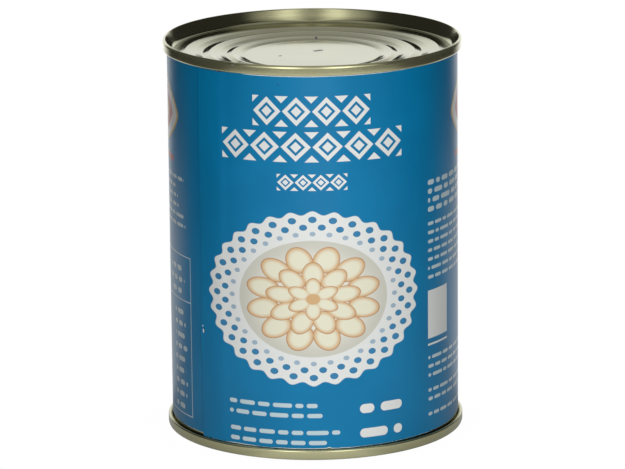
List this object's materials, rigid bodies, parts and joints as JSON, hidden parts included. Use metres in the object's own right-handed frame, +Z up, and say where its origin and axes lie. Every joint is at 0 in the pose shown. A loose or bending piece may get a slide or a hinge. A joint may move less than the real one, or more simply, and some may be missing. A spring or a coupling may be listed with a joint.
{
  "type": "sealed food tin",
  "caption": "Round tinplate food tin with double-seamed ringed ends and a lapped blue paper label, packed with peeled water chestnuts.",
  "frame": {"origin": "middle of the circle that the bottom seam stands on, at the height of that surface", "axes": "+Z up along the tin's axis, the front of the label faces -Y, +X to the right of someone who looks at the front"},
  "size_m": [0.0874, 0.0874, 0.1159],
  "materials": {
    "tinplate": "tinplate under a pale gold lacquer, satin, with fine rolling lines",
    "compound": "matt sealing compound",
    "label_paper": "coated paper printed blue, satin, white at its cut edges",
    "chestnut": "moist cream flesh with faint fibres"
  },
  "bodies": {
    "root": {"can_body": "tinplate", "top_end": "tinplate", "bottom_end": "tinplate", "top_compound": "compound", "bottom_compound": "compound", "label": "label_paper", "chestnut_01": "chestnut", "chestnut_02": "chestnut", "chestnut_03": "chestnut", "chestnut_04": "chestnut", "chestnut_05": "chestnut", "chestnut_06": "chestnut", "chestnut_07": "chestnut", "chestnut_08": "chestnut", "chestnut_09": "chestnut", "chestnut_10": "chestnut", "chestnut_11": "chestnut", "chestnut_12": "chestnut", "chestnut_13": "chestnut", "chestnut_14": "chestnut", "chestnut_15": "chestnut", "chestnut_16": "chestnut", "chestnut_17": "chestnut", "chestnut_18": "chestnut", "chestnut_19": "chestnut", "chestnut_20": "chestnut", "chestnut_21": "chestnut", "chestnut_22": "chestnut", "chestnut_23": "chestnut", "chestnut_24": "chestnut", "chestnut_25": "chestnut", "chestnut_26": "chestnut", "chestnut_27": "chestnut", "chestnut_28": "chestnut", "chestnut_29": "chestnut", "chestnut_30": "chestnut", "chestnut_31": "chestnut", "chestnut_32": "chestnut", "chestnut_33": "chestnut", "chestnut_34": "chestnut", "chestnut_35": "chestnut"}
  },
  "joints": []
}
